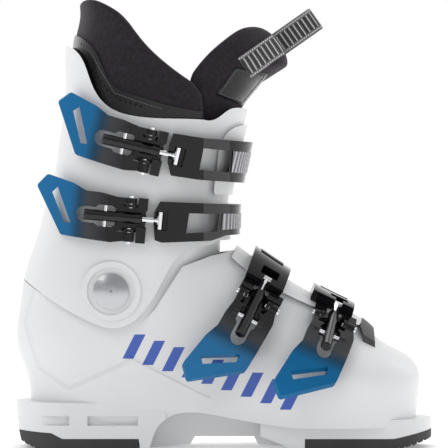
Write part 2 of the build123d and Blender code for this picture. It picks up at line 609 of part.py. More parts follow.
def main():
    os.makedirs("parts", exist_ok=True)
    nodes = {
        "toe_sole_pad": make_toe_pad(),
        "heel_sole_pad": make_heel_pad(),
        "toe_sole_screws": sole_screws(TOE_SCREWS),
        "heel_sole_screws": sole_screws(HEEL_SCREWS),
        "boot_board": make_boot_board(),
        "insole": make_insole(),
        "liner_foot": make_liner_foot(),
        "toe_seal": seal_body(0.1),
        "liner_cuff": make_liner_cuff(),
        "liner_trim": make_liner_trim(),
        "liner_tongue": make_tongue(),
    }
    nodes["pull_loop"] = make_pull_loop() - nodes["liner_tongue"]
    lower_shell, cuff = make_lower_shell(), make_cuff()
    for piece in sole_screws(HEEL_SCREWS + TOE_SCREWS):
        lower_shell -= piece
    for side, name in ((-1, "lateral"), (1, "medial")):
        rivet = make_pivot_rivet(side)
        lower_shell -= rivet
        nodes[f"pivot_rivet_{name}"] = rivet
        nodes[f"pivot_cap_{name}"] = make_pivot_cap(side)
    buckles = [(leg, sizes) for sizes in CUFF_BUCKLES] + [(foot, sizes) for sizes in FOOT_BUCKLES]
    for number, (body_at, sizes) in enumerate(buckles, start=1):
        pieces, frame = make_buckle(number, body_at, sizes)
        nodes.update(pieces)
        for rivet in pieces[f"buckle_rivets_{number}"]:
            if body_at is leg:
                cuff -= rivet
            else:
                lower_shell -= rivet
        if body_at is foot:
            lower_shell -= frame.location * hook_room()
        bail = frame.from_local_coords((0, BAIL_AT, 0))
        print(f"buckle {number}: hinge", frame.origin, "bail", bail, "axis", frame.x_dir)
    nodes["lower_shell"], nodes["cuff"] = lower_shell, cuff
    for name, shape in nodes.items():
        save(name, shape)


main()
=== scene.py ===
# %% [markdown]
# # A right-foot alpine ski boot
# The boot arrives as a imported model: shells, buckles, sole pads and plain soft solids, each a
# separate node in metres. This lesson gives every piece its finish, rebuilds the soft pieces as
# cloth and fleece, and sets up a studio shot. The frame never changes, so what opens still opens.

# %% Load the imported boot
import functools
import json
import math

import bmesh
import bpy
from mathutils import Matrix, Vector
from mathutils.bvhtree import BVHTree


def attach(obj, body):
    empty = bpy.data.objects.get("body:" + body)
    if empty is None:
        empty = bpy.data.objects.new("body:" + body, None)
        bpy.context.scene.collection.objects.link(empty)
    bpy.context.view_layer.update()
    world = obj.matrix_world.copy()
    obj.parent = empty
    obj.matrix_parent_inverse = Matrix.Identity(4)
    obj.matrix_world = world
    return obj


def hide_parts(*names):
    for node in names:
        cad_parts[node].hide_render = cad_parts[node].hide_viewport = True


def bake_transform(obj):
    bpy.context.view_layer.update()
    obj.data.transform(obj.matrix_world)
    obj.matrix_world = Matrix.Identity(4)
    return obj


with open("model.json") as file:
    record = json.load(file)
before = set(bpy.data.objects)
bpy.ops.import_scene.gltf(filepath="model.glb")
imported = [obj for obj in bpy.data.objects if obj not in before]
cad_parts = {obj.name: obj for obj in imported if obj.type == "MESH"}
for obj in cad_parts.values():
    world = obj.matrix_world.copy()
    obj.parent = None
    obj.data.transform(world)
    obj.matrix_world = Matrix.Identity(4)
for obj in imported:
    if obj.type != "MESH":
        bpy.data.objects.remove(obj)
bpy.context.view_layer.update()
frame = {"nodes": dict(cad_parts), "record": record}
MM = 0.001

# %% [markdown]
# ## Reading the frame
# A lever's colour changes along it, so the finish has to know where the hinge is and which way
# the tail points. The joints hold both: the hinge of the lever, and the bail pin a little way
# along it, where the hook's joint turns.

# %% Where each buckle turns
joints = {joint["name"]: joint for joint in frame["record"]["behaviour"]["joints"]}
BUCKLES = (1, 2, 3, 4)


def buckle_line(number):
    """The hinge of a buckle, and the way its tail points."""
    hinge = Vector(joints[f"lever_{number}_open"]["pos_m"])
    bail_pin = Vector(joints[f"hook_{number}_turn"]["pos_m"])
    return hinge, (bail_pin - hinge).normalized()


for number in BUCKLES:
    print("buckle", number, "tail points", [round(part, 2) for part in buckle_line(number)[1]])

# %% [markdown]
# ## Material helpers
# Most finishes here differ in a few numbers and one or two patterns. A fixed number goes straight
# on the shader's socket, and a pattern comes from a small chain of nodes, so that each material
# below reads as a recipe.


# %% Node helpers
def shader_of(material):
    return material.node_tree.nodes["Principled BSDF"]


def finish(name, color, rough, metallic=0.0, **sockets):
    """A new material with its Principled shader's fixed numbers set."""
    made = bpy.data.materials.new(name)
    made.use_nodes = True
    shader = shader_of(made)
    shader.inputs["Base Color"].default_value = (*color, 1)
    shader.inputs["Roughness"].default_value = rough
    shader.inputs["Metallic"].default_value = metallic
    for socket, value in sockets.items():
        shader.inputs[socket.replace("_", " ")].default_value = value
    return made


def node(material, kind, **settings):
    made = material.node_tree.nodes.new(kind)
    for key, value in settings.items():
        setattr(made, key, value)
    return made


def link(material, start, end):
    material.node_tree.links.new(start, end)


def place_of(material):
    """Object coordinates: they stay on the piece when it moves."""
    return node(material, "ShaderNodeTexCoord").outputs["Object"]


def math_node(material, operation, first, second=0.5, clamp=False):
    """One sum on numbers or outputs."""
    made = node(material, "ShaderNodeMath", operation=operation, use_clamp=clamp)
    for socket, value in zip(made.inputs, (first, second)):
        if isinstance(value, (int, float)):
            socket.default_value = value
        else:
            link(material, value, socket)
    return made.outputs[0]


def vector_node(material, operation, first, second):
    """One sum on two vectors; the second may be fixed."""
    made = node(material, "ShaderNodeVectorMath", operation=operation)
    link(material, first, made.inputs[0])
    if isinstance(second, bpy.types.NodeSocket):
        link(material, second, made.inputs[1])
    else:
        made.inputs[1].default_value = second
    return made


def axes_of(material, vector):
    """The three parts of a vector, as outputs named X, Y and Z."""
    made = node(material, "ShaderNodeSeparateXYZ")
    link(material, vector, made.inputs[0])
    return made.outputs


def within(material, value, low, high):
    """1 where a value lies between two limits, and 0 elsewhere."""
    made = math_node(material, "COMPARE", value, (low + high) / 2)
    made.node.inputs[2].default_value = (high - low) / 2
    return made


def noise(material, scale, detail):
    made = node(material, "ShaderNodeTexNoise")
    made.inputs["Scale"].default_value = scale
    made.inputs["Detail"].default_value = detail
    link(material, place_of(material), made.inputs["Vector"])
    return made.outputs["Fac"]


def bump(material, height, strength, distance_mm):
    made = node(material, "ShaderNodeBump")
    made.inputs["Strength"].default_value = strength
    made.inputs["Distance"].default_value = distance_mm * MM
    link(material, height, made.inputs["Height"])
    link(material, made.outputs[0], shader_of(material).inputs["Normal"])


def ramp(material, value, *stops):
    """Colours or greys along a value from 0 to 1; each stop is (place, (r, g, b))."""
    made = node(material, "ShaderNodeValToRGB")
    elements = made.color_ramp.elements
    while len(elements) < len(stops):
        elements.new(0.5)
    for element, (position, color) in zip(elements, stops):
        element.position, element.color = position, (*color, 1)
    link(material, value, made.inputs[0])
    return made.outputs[0]


def paint(material, color_output):
    link(material, color_output, shader_of(material).inputs["Base Color"])


def roughen(material, value, low, high):
    """Let the roughness wander between two limits."""
    made = node(material, "ShaderNodeMapRange")
    made.inputs["To Min"].default_value, made.inputs["To Max"].default_value = low, high
    link(material, value, made.inputs["Value"])
    link(material, made.outputs[0], shader_of(material).inputs["Roughness"])


print("helpers ready")

# %% [markdown]
# ## Camera and studio
# The boot is shot from its outer side. A long lens far away keeps the sole straight, and its
# distance follows from the width that has to fit. The light comes from a soft box in front, one
# above and one behind, as for a catalogue, over a pale floor.


# %% Camera
def new_object(name, data):
    """An object around some data, linked to the scene."""
    made = bpy.data.objects.new(name, data)
    bpy.context.scene.collection.objects.link(made)
    return made


LENS, SENSOR = 300.0, 36.0
VIEW_WIDTH = 0.2965
AIM = Vector((0.0002, 0.0, 0.1471))
ELEVATION = math.radians(1.0)
FARTHEST = 50

camera = new_object("camera", bpy.data.cameras.new("camera"))
camera.data.lens, camera.data.sensor_width = LENS, SENSOR
distance = LENS * VIEW_WIDTH / SENSOR
camera.location = AIM + distance * Vector((0, -math.cos(ELEVATION), math.sin(ELEVATION)))
camera.rotation_euler = (math.pi / 2 - ELEVATION, 0, 0)
camera.data.clip_end = FARTHEST
bpy.context.scene.camera = camera
print("camera distance in m:", round(distance, 2))


# %% Floor and lights
def smooth(mesh):
    mesh.polygons.foreach_set("use_smooth", [True] * len(mesh.polygons))


def new_mesh_object(name, vertices, faces):
    """A smooth mesh object from plain lists."""
    mesh = bpy.data.meshes.new(name)
    mesh.from_pydata([tuple(vertex) for vertex in vertices], [], faces)
    mesh.validate()
    smooth(mesh)
    return new_object(name, mesh)


def area_light(name, place, size, power):
    """A soft box turned towards the middle of the boot."""
    light = bpy.data.lights.new(name, "AREA")
    light.shape, light.size, light.size_y, light.energy = "RECTANGLE", size[0], size[1], power
    lamp = new_object(name, light)
    lamp.location = place
    lamp.rotation_euler = (BOOT_MIDDLE - Vector(place)).to_track_quat("-Z", "Y").to_euler()


FLOOR_RADIUS, FLOOR_SIDES = 6.0, 64
BOOT_MIDDLE = Vector((0, 0, 0.15))
turns = [math.tau * step / FLOOR_SIDES for step in range(FLOOR_SIDES)]
rim = [(FLOOR_RADIUS * math.cos(turn), FLOOR_RADIUS * math.sin(turn), 0) for turn in turns]
floor = new_mesh_object("studio_floor", rim, [tuple(range(FLOOR_SIDES))])
paper = finish("studio_paper", (0.94, 0.94, 0.94), 0.9, Emission_Color=(1, 1, 1, 1),
               Emission_Strength=0.2)
floor.data.materials.append(paper)
area_light("key_softbox", (-0.75, -1.1, 1.0), (0.6, 0.6), 3.6)
area_light("top_softbox", (-0.1, 0.3, 1.3), (1.2, 0.5), 4.2)
area_light("rim_softbox", (1.1, 0.5, 0.7), (0.4, 1.0), 1.6)

# The walls of the studio: white behind the boot and on the sides, greyer in front of it. The
# change runs between two places along y, where -1 is straight ahead of the boot's outer side.
FRONT_WALL, BACK_WALL = (0.45, 0.455, 0.465, 1), (1, 1, 1, 1)
GREY_AT, WHITE_AT = -0.95, 0.1
world = bpy.data.worlds.new("studio")
bpy.context.scene.world = world
world.use_nodes = True
walls = world.node_tree
heading = walls.nodes.new("ShaderNodeTexCoord")
split = walls.nodes.new("ShaderNodeSeparateXYZ")
walls.links.new(heading.outputs["Generated"], split.inputs[0])
shade = walls.nodes.new("ShaderNodeMapRange")
shade.interpolation_type = "SMOOTHSTEP"
shade.inputs["From Min"].default_value, shade.inputs["From Max"].default_value = GREY_AT, WHITE_AT
walls.links.new(split.outputs["Y"], shade.inputs["Value"])
blend_walls = walls.nodes.new("ShaderNodeMix")
blend_walls.data_type = "RGBA"
blend_walls.inputs["A"].default_value, blend_walls.inputs["B"].default_value = FRONT_WALL, BACK_WALL
walls.links.new(shade.outputs[0], blend_walls.inputs["Factor"])
walls.links.new(blend_walls.outputs["Result"], walls.nodes["Background"].inputs[0])
bpy.context.scene.view_settings.view_transform = "Standard"
print("studio ready")

# %% [markdown]
# ## Shell plastic
# The lower shell and the cuff are injection-moulded polyurethane: white, satin, a little
# translucent at thin edges, with a very fine spark-eroded grain. A trace of subsurface scattering
# softens the shadows, and two noises give the grain and the slow wave of a moulded wall. The maker's
# lettering is left out. Plain slanted bars stand in for it, drawn by their place on the boot.


# %% White shell with slanted bars
def slanted_bar(material, axes, start, low, high):
    """One bar on the outer side: a band of slanted lines between two heights."""
    shift = math_node(material, "MULTIPLY", axes["Z"], BAR_SLOPE)
    along = math_node(material, "SUBTRACT", axes["X"], shift)
    inside = within(material, along, start, start + BAR_WIDE)
    level = within(material, axes["Z"], low, high)
    outer_side = math_node(material, "LESS_THAN", axes["Y"], OUTER_SIDE)
    return math_node(material, "MULTIPLY", math_node(material, "MULTIPLY", inside, level), outer_side)


def shell_plastic(name, bars=()):
    """White satin plastic, with bars painted on the outer side if there are any."""
    made = finish(name, (0.78, 0.785, 0.79), 0.32, Subsurface_Weight=0.04, Coat_Weight=0.12,
                  Coat_Roughness=0.25, Subsurface_Radius=(2 * MM, 2 * MM, 2 * MM))
    tone = ramp(made, noise(made, 14, 4), (0.3, (0.71, 0.714, 0.72)), (0.7, (0.75, 0.753, 0.758)))
    if bars:
        axes = axes_of(made, place_of(made))
        parts = [slanted_bar(made, axes, *bar) for bar in bars]
        mask = functools.reduce(lambda one, other: math_node(made, "MAXIMUM", one, other), parts)
        mix = node(made, "ShaderNodeMix", data_type="RGBA")
        link(made, mask, mix.inputs["Factor"])
        link(made, tone, mix.inputs["A"])
        mix.inputs["B"].default_value = BAR_BLUE
        tone = mix.outputs["Result"]
    paint(made, tone)
    roughen(made, noise(made, 60, 2), 0.27, 0.38)
    bump(made, noise(made, 1400, 2), 0.12, 0.05)
    return made


def moulded_lines(material, chains, width_mm, depth_mm):
    """Soft grooves along chains of points in the side view, added under the grain."""
    flat = vector_node(material, "MULTIPLY", place_of(material), SIDE_VIEW)
    nearest = None
    for chain in chains:
        for start, end in zip(chain, chain[1:]):
            origin = Vector((start[0], 0, start[1])) * MM
            heading = Vector((end[0] - start[0], 0, end[1] - start[1])) * MM
            shift = vector_node(material, "SUBTRACT", flat.outputs[0], origin)
            dot = vector_node(material, "DOT_PRODUCT", shift.outputs[0], heading / heading.length_squared)
            part = math_node(material, "MULTIPLY", dot.outputs["Value"], 1.0, clamp=True)
            foot_point = node(material, "ShaderNodeVectorMath", operation="SCALE")
            foot_point.inputs[0].default_value = heading
            link(material, part, foot_point.inputs["Scale"])
            apart = vector_node(material, "DISTANCE", shift.outputs[0], foot_point.outputs[0])
            gap = apart.outputs["Value"]
            nearest = gap if nearest is None else math_node(material, "MINIMUM", nearest, gap)
    groove = node(material, "ShaderNodeMapRange", interpolation_type="SMOOTHSTEP")
    groove.inputs["From Max"].default_value = width_mm * MM
    link(material, nearest, groove.inputs["Value"])
    grain_bump = material.node_tree.nodes["Bump"]
    under = node(material, "ShaderNodeBump")
    under.inputs["Strength"].default_value = 1.0
    under.inputs["Distance"].default_value = depth_mm * MM
    link(material, groove.outputs[0], under.inputs["Height"])
    link(material, under.outputs[0], grain_bump.inputs["Normal"])


# Keeps x and z and drops y, so that a place is read as in the side view
SIDE_VIEW = (1, 0, 1)
HEEL_PANEL = [(-125, 104.6), (-130.2, 83.5), (-121.3, 53.8), (-101.5, 40.3), (-68.5, 55), (-59.9, 59.7)]
SIDE_CREASE = [(-59.9, 61), (-9.7, 35.3)]
# A row of bars that falls towards the toe, in metres; y below OUTER_SIDE is the boot's outer side
OUTER_SIDE = -0.02
BAR_BLUE = (0.03, 0.09, 0.42, 1)
BAR_COUNT, BAR_START, BAR_WIDE, BAR_SLOPE = 9, -0.096, 0.0072, 0.5
BAR_FOOT, BAR_HEAD, BAR_PITCH, BAR_FALL = 0.060, 0.076, 0.0128, 0.0041
SIDE_BARS = [(BAR_START + (BAR_PITCH + BAR_FALL * BAR_SLOPE) * step, BAR_FOOT - BAR_FALL * step,
              BAR_HEAD - BAR_FALL * step) for step in range(BAR_COUNT)]
shell_white = shell_plastic("shell_white_barred", SIDE_BARS)
moulded_lines(shell_white, (HEEL_PANEL, SIDE_CREASE), width_mm=1.6, depth_mm=0.6)
cuff_white = shell_plastic("shell_white")
print("bars on the side:", len(SIDE_BARS))

# %% [markdown]
# ## Lever paint
# The levers are bent aluminium plates, anodised blue at the tail and running through dark grey
# The levers are bent aluminium plates under a satin lacquer, anodised blue at the tail and black
# towards the hinge; the band of dark grey between them is a painted highlight. The blend follows
# the lever's own line, so each buckle gets its own material that measures how far along it a point lies.


# %% Blue running into black
def along_buckle(material, number, length_mm):
    """How far along the buckle a point lies, 0 at the hinge and 1 at the given length."""
    hinge, along = buckle_line(number)
    shift = vector_node(material, "SUBTRACT", place_of(material), hinge)
    dot = vector_node(material, "DOT_PRODUCT", shift.outputs[0], along / (length_mm * MM))
    return dot.outputs["Value"]


LEVER_LENGTH = 61
# From hinge to tail: black paint, a dark grey band that is a painted highlight, then blue paint
LEVER_PAINT_AND_HIGHLIGHT = ((0.0, (0.006, 0.006, 0.007)), (0.22, (0.009, 0.009, 0.010)), (0.44, (0.045, 0.046, 0.05)),
                 (0.54, (0.006, 0.045, 0.09)), (0.64, (0.0, 0.11, 0.27)), (1.0, (0.0, 0.135, 0.33)))


def lever_paint(number):
    made = finish(f"lever_blue_{number}", (0.0, 0.1, 0.26), 0.3, metallic=0.1, Coat_Weight=0.1,
                  Coat_Roughness=0.15, Specular_IOR_Level=0.25)
    paint(made, ramp(made, along_buckle(made, number, LEVER_LENGTH), *LEVER_PAINT_AND_HIGHLIGHT))
    roughen(made, noise(made, 240, 3), 0.18, 0.3)
    bump(made, noise(made, 2600, 1), 0.08, 0.03)
    return made


lever_paints = {number: lever_paint(number) for number in BUCKLES}
print("lever paints:", len(lever_paints))

# %% [markdown]
# ## Hard parts
# Racks and bases are glossy black nylon, barrels a darker gloss, pins and hooks chrome, catch
# plates ridged satin aluminium, and the pivot disc is turned metal with fine rings. The sole pads
# are a hard rubbery plastic with a coarse grain.

# %% Black, chrome, silver and sole
# Gloss black, and the dark grey of a painted highlight on the racks' middle legs
GLOSS_BLACK, LEG_HIGHLIGHT_GREY = (0.006, 0.006, 0.007), (0.045, 0.045, 0.047)
frame_black = finish("frame_black", GLOSS_BLACK, 0.2, Coat_Weight=0.15, Coat_Roughness=0.05,
                     Specular_IOR_Level=0.22)
roughen(frame_black, noise(frame_black, 160, 3), 0.1, 0.2)
bump(frame_black, noise(frame_black, 900, 2), 0.06, 0.04)
# The middle legs of the cuff's racks, beside the window, get a painted highlight in dark grey, between
# these places on x
LEGS_FROM, LEGS_TO = -0.013, 0.004
rack_black = frame_black.copy()
rack_black.name = "rack_black"
leg_highlight = within(rack_black, axes_of(rack_black, place_of(rack_black))["X"], LEGS_FROM, LEGS_TO)
paint(rack_black, ramp(rack_black, leg_highlight, (0.0, GLOSS_BLACK), (1.0, LEG_HIGHLIGHT_GREY)))
barrel_black = finish("barrel_black", (0.004, 0.004, 0.005), 0.14, Coat_Weight=0.3, Coat_Roughness=0.05,
                      Specular_IOR_Level=0.3)
roughen(barrel_black, noise(barrel_black, 300, 2), 0.14, 0.24)
chrome_steel = finish("chrome_steel", (0.78, 0.78, 0.8), 0.1, metallic=1.0)
roughen(chrome_steel, noise(chrome_steel, 500, 2), 0.07, 0.16)
rivet_steel = finish("rivet_steel", (0.56, 0.56, 0.58), 0.3, metallic=1.0)
roughen(rivet_steel, noise(rivet_steel, 400, 2), 0.24, 0.4)
# The ridges of the catch plates in mm, and the disc's rings in radians of a wave per metre
RIDGE_PITCH, RING_TURNS = 3.2, 14000.0


def plate_silver_finish():
    """Satin aluminium with ridges across the plate, and painted shade in the grooves."""
    made = finish("plate_silver", (0.72, 0.72, 0.74), 0.28, metallic=1.0)
    roughen(made, noise(made, 300, 3), 0.2, 0.34)
    turn = math_node(made, "MULTIPLY", axes_of(made, place_of(made))["Y"], math.tau / (RIDGE_PITCH * MM))
    ridges = math_node(made, "SINE", turn)
    # The ridges' colour is painted shade: dark in the grooves, lighter on the crests
    paint(made, ramp(made, ridges, (0.0, (0.16, 0.16, 0.17)), (0.2, (0.42, 0.42, 0.44))))
    bump(made, ridges, 0.6, 0.4)
    return made


def disc_finish():
    """Turned metal with fine rings around the ankle pivot."""
    made = finish("disc_brushed", (0.5, 0.51, 0.53), 0.25, metallic=1.0)
    pivot = Vector(joints["cuff_flex"]["pos_m"])
    shift = vector_node(made, "SUBTRACT", place_of(made), pivot)
    flat = vector_node(made, "MULTIPLY", shift.outputs[0], SIDE_VIEW)
    radius = vector_node(made, "LENGTH", flat.outputs[0], (0, 0, 0)).outputs["Value"]
    rings = math_node(made, "SINE", math_node(made, "MULTIPLY", radius, RING_TURNS))
    roughen(made, noise(made, 220, 3), 0.2, 0.32)
    bump(made, rings, 0.2, 0.03)
    return made


plate_silver, disc_brushed = plate_silver_finish(), disc_finish()
sole_dark = finish("sole_dark", (0.028, 0.027, 0.027), 0.62)
SOLE_TONES = ((0.3, (0.024, 0.023, 0.023)), (0.75, (0.042, 0.04, 0.04)))
paint(sole_dark, ramp(sole_dark, noise(sole_dark, 40, 4), *SOLE_TONES))
bump(sole_dark, noise(sole_dark, 900, 3), 0.35, 0.12)
seal_rubber = finish("seal_rubber", (0.05, 0.05, 0.053), 0.5)
bump(seal_rubber, noise(seal_rubber, 1200, 2), 0.2, 0.05)
board_grey = finish("board_grey", (0.16, 0.16, 0.17), 0.6)
bump(board_grey, noise(board_grey, 700, 2), 0.2, 0.06)
print("hard finishes ready")

# %% [markdown]
# ## Soft finishes
# The inner boot is lined with short dense fleece in a warm near-black. Fleece has no clear
# highlight: light catches the fibre tips at a slant, which is what the sheen lobe does. Fine clumps
# come from two scales of noise. The trim is a smooth synthetic leather, and the loop is webbing.


# %% Fleece, leather and felt
def fleece(name, dark, light):
    made = finish(name, light, 0.95, Sheen_Weight=0.14, Sheen_Roughness=0.5,
                  Sheen_Tint=(0.75, 0.68, 0.76, 1))
    paint(made, ramp(made, noise(made, 420, 5), (0.32, dark), (0.7, light)))
    bump(made, noise(made, 1100, 4), 0.9, 0.35)
    return made


liner_fleece = fleece("liner_fleece", (0.005, 0.0035, 0.006), (0.018, 0.0125, 0.02))
insole_felt = fleece("insole_felt", (0.03, 0.03, 0.034), (0.07, 0.07, 0.078))
trim_leather = finish("trim_leather", (0.004, 0.004, 0.005), 0.3, Coat_Weight=0.35, Coat_Roughness=0.1,
                      Specular_IOR_Level=0.25)
grain = node(trim_leather, "ShaderNodeTexVoronoi")
grain.inputs["Scale"].default_value = 900
link(trim_leather, place_of(trim_leather), grain.inputs["Vector"])
bump(trim_leather, grain.outputs["Distance"], 0.25, 0.08)
roughen(trim_leather, noise(trim_leather, 120, 3), 0.2, 0.34)
print("soft finishes ready")

# %% [markdown]
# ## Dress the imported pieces
# A node whose shape is right keeps its mesh. Its edges get a narrow bevel, because a sharp edge
# never catches the light and a moulded or stamped one always does.

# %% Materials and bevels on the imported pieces
# The width of each kind's bevel in mm; an edge sharper than BEVEL_FROM degrees gets one
BEVEL_FROM = 38
EDGE = {"lower_shell": 0.5, "cuff": 0.5, "lever": 0.45, "rack": 0.45, "rack_plate": 0.15,
        "buckle_base": 0.35, "hook": 0.25, "barrel": 0.2, "toe_sole_pad": 0.4, "heel_sole_pad": 0.4,
        "lever_pins": 0.25, "pivot_cap_lateral": 0.2, "pivot_cap_medial": 0.2, "toe_seal": 0.4}


def family(name):
    """The kind of a piece: its name without a buckle's number."""
    return name.rsplit("_", 1)[0] if name[-1].isdigit() else name


FINISHES = {"lower_shell": shell_white, "cuff": cuff_white, "rack": rack_black,
            "buckle_base": frame_black, "barrel": barrel_black, "hook": chrome_steel,
            "bail_pin": chrome_steel, "lever_pins": chrome_steel, "rack_plate": plate_silver,
            "buckle_rivets": rivet_steel, "toe_sole_screws": rivet_steel, "heel_sole_screws": rivet_steel,
            "pivot_rivet_lateral": rivet_steel, "pivot_rivet_medial": rivet_steel,
            "pivot_cap_lateral": disc_brushed, "pivot_cap_medial": disc_brushed,
            "toe_sole_pad": sole_dark, "heel_sole_pad": sole_dark,
            "toe_seal": seal_rubber, "boot_board": board_grey, "insole": insole_felt,
            "liner_foot": liner_fleece, "liner_cuff": liner_fleece, "liner_tongue": liner_fleece,
            "liner_trim": trim_leather, "pull_loop": trim_leather}


def dress(name):
    """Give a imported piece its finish, and its bevel if its kind has one."""
    piece = bpy.data.objects[name]
    kind = family(name)
    material = lever_paints[int(name[-1])] if kind == "lever" else FINISHES[kind]
    if not piece.material_slots:
        piece.data.materials.append(material)
    for material_slot in piece.material_slots:
        material_slot.material = material
    if kind in EDGE:
        bevel = piece.modifiers.new("soft_edge", "BEVEL")
        bevel.width, bevel.segments, bevel.limit_method = EDGE[kind] * MM, 2, "ANGLE"
        bevel.angle_limit = math.radians(BEVEL_FROM)
        bevel.harden_normals = True


for name in frame["nodes"]:
    dress(name)
print("dressed", len(frame["nodes"]), "pieces")

# %% [markdown]
# ## The inner boot
# A real inner boot is one padded sock of foam and fleece with a thick rolled rim. The imported model
# has it as two plain solids, cut where the cuff starts to lean. Here both solids are swollen until
# they meet, turned into one skin, and smoothed, which rounds the rim the way foam under cloth does.


# %% One padded skin from the plain solids
SAME_POINT = 2e-6


def soft_skin(name, sources, voxel_mm, rounds, swell_mm):
    """A smooth closed skin around some plain solids, fused and rounded."""
    collected = bmesh.new()
    for source in sources:
        collected.from_mesh(bpy.data.objects[source].data)
    bmesh.ops.remove_doubles(collected, verts=collected.verts, dist=SAME_POINT)
    mesh = bpy.data.meshes.new(name)
    collected.to_mesh(mesh)
    collected.free()
    rough = new_object(name, mesh)
    swell = rough.modifiers.new("swell", "DISPLACE")
    swell.strength, swell.mid_level = swell_mm * MM, 0
    fuse = rough.modifiers.new("fuse", "REMESH")
    fuse.mode, fuse.voxel_size = "VOXEL", voxel_mm * MM
    even = rough.modifiers.new("even", "SMOOTH")
    even.factor, even.iterations = 0.5, rounds
    shrink = rough.modifiers.new("shrink", "DISPLACE")
    shrink.strength, shrink.mid_level = -swell_mm * MM, 0
    seen = rough.evaluated_get(bpy.context.evaluated_depsgraph_get())
    rough.data = bpy.data.meshes.new_from_object(seen)
    rough.modifiers.clear()
    smooth(rough.data)
    rough.data.materials.clear()
    return rough


def wear(piece, material):
    """Give a new piece one material."""
    piece.data.materials.append(material)


liner = soft_skin("liner_padded", ["liner_foot", "liner_cuff"], voxel_mm=1.7, rounds=8, swell_mm=0.8)
wear(liner, liner_fleece)
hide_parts("liner_foot", "liner_cuff")
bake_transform(liner)
tongue = soft_skin("tongue_padded", ["liner_tongue"], voxel_mm=1.4, rounds=8, swell_mm=0.3)
# The tongue's part behind TUCK_FROM goes back by up to TUCK_BY, easing in over TUCK_SPAN
TUCK_FROM, TUCK_SPAN, TUCK_BY = 5 * MM, 20 * MM, 4.5 * MM
for vertex in tongue.data.vertices:
    reach = min(max((TUCK_FROM - vertex.co.x) / TUCK_SPAN, 0), 1)
    vertex.co.x -= TUCK_BY * reach * reach * (3 - 2 * reach)
wear(tongue, liner_fleece)
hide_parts("liner_tongue")
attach(tongue, "cuff")
print("liner faces:", len(liner.data.polygons), "tongue faces:", len(tongue.data.polygons))

# %% [markdown]
# ## Trim, stitches and the tongue's patch
# The collar of the inner boot is a band of glossy synthetic leather with a line of air holes and a
# row of lockstitches. The tongue carries a stitched leather patch where the webbing is sewn on. Holes
# and stitches are placed by looking straight at the boot's side and finding the surface behind.


# %% Small pieces laid on a surface
# A y outside the boot on its outer side, from which a surface is looked for
BESIDE = -0.12


def surface_of(piece):
    """A finder of the outer side's surface: the point and normal behind a place (x, z) in mm."""
    bm = bmesh.new()
    bm.from_mesh(piece.data)
    tree = BVHTree.FromBMesh(bm)
    bm.free()

    def find(x, z):
        point, normal, _, _ = tree.ray_cast(Vector((x * MM, BESIDE, z * MM)), Vector((0, 1, 0)))
        return (point, normal if normal.y < 0 else -normal) if point else (None, None)

    return find


def along_curve(points, count):
    """Evenly spaced places along a chain of points, each with its direction."""
    chain = [Vector(point) for point in points]
    lengths = [(b - a).length for a, b in zip(chain, chain[1:])]
    total, placed = sum(lengths), []
    for step in range(count):
        left = total * (step + 0.5) / count
        for start, end, length in zip(chain, chain[1:], lengths):
            if left <= length or end is chain[-1]:
                placed.append((start.lerp(end, min(left / length, 1)), (end - start).normalized()))
                break
            left -= length
    return placed


def lay(name, find, places, make_one, lift_mm=0.0):
    """One mesh of many small pieces, each laid flat on the surface at its place."""
    gathered = bmesh.new()
    for spot, heading in places:
        point, normal = find(spot.x, spot.y)
        if point is None:
            continue
        forward = Vector((heading.x, 0, heading.y))
        forward = (forward - normal * forward.dot(normal)).normalized()
        turn = Matrix((forward, normal.cross(forward), normal)).transposed().to_4x4()
        make_one(gathered, Matrix.Translation(point + normal * lift_mm * MM) @ turn)
    mesh = bpy.data.meshes.new(name)
    gathered.to_mesh(mesh)
    gathered.free()
    smooth(mesh)
    return new_object(name, mesh)


def laid_size(piece, columns):
    """The longest width and length, along the surface, of a grid that was laid on it."""
    points = [vertex.co for vertex in piece.data.vertices]
    rows = [points[start:start + columns] for start in range(0, len(points), columns)]

    def longest(chains):
        return max(sum((b - a).length for a, b in zip(chain, chain[1:])) for chain in chains)

    return longest(rows), longest(list(zip(*rows)))


def bead(gathered, place, long_mm, wide_mm, high_mm):
    """A small rounded bead with these half sizes."""
    sizes = Matrix.Diagonal((long_mm * MM, wide_mm * MM, high_mm * MM, 1))
    bmesh.ops.create_icosphere(gathered, subdivisions=2, radius=1.0, matrix=place @ sizes)


def stitch(gathered, place):
    bead(gathered, place, 1.1, 0.35, 0.3)


def air_hole(gathered, place):
    bead(gathered, place, 1.0, 1.0, 0.12)


def grid_faces(rows, columns, closed=False):
    """The faces of a grid of points listed row by row; a closed one joins the ends of its rows."""
    return [(row * columns + column, row * columns + (column + 1) % columns,
             (row + 1) * columns + (column + 1) % columns, (row + 1) * columns + column)
            for row in range(rows - 1) for column in range(columns if closed else columns - 1)]


def thicken(piece, thick_mm):
    solid = piece.modifiers.new("thick", "SOLIDIFY")
    solid.thickness, solid.offset = thick_mm * MM, 0


TRIM_RIM = [(-94, 266), (-86, 259), (-79, 246), (-71, 233), (-56, 227.5), (-40, 222.5)]
HOLE_LINE = [(-84, 248), (-76, 235), (-66, 228), (-52, 224)]
TRIM_STITCHES, TRIM_HOLES, PATCH_STITCHES = 34, 12, 40
find_trim = surface_of(bpy.data.objects["liner_trim"])
thread = finish("stitch_thread", (0.09, 0.09, 0.1), 0.75)
bump(thread, noise(thread, 3000, 2), 0.4, 0.05)
# Each air hole is a flat near-black bead: painted shade standing for the dark inside the hole
hole_painted_shade = finish("air_hole", (0.002, 0.002, 0.002), 0.9)
trim_stitches = lay("trim_stitches", find_trim, along_curve(TRIM_RIM, TRIM_STITCHES), stitch, lift_mm=0.1)
wear(trim_stitches, thread)
air_holes = lay("trim_air_holes", find_trim, along_curve(HOLE_LINE, TRIM_HOLES), air_hole)
wear(air_holes, hole_painted_shade)
for piece in (trim_stitches, air_holes):
    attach(piece, "cuff")
print("trim pieces placed")

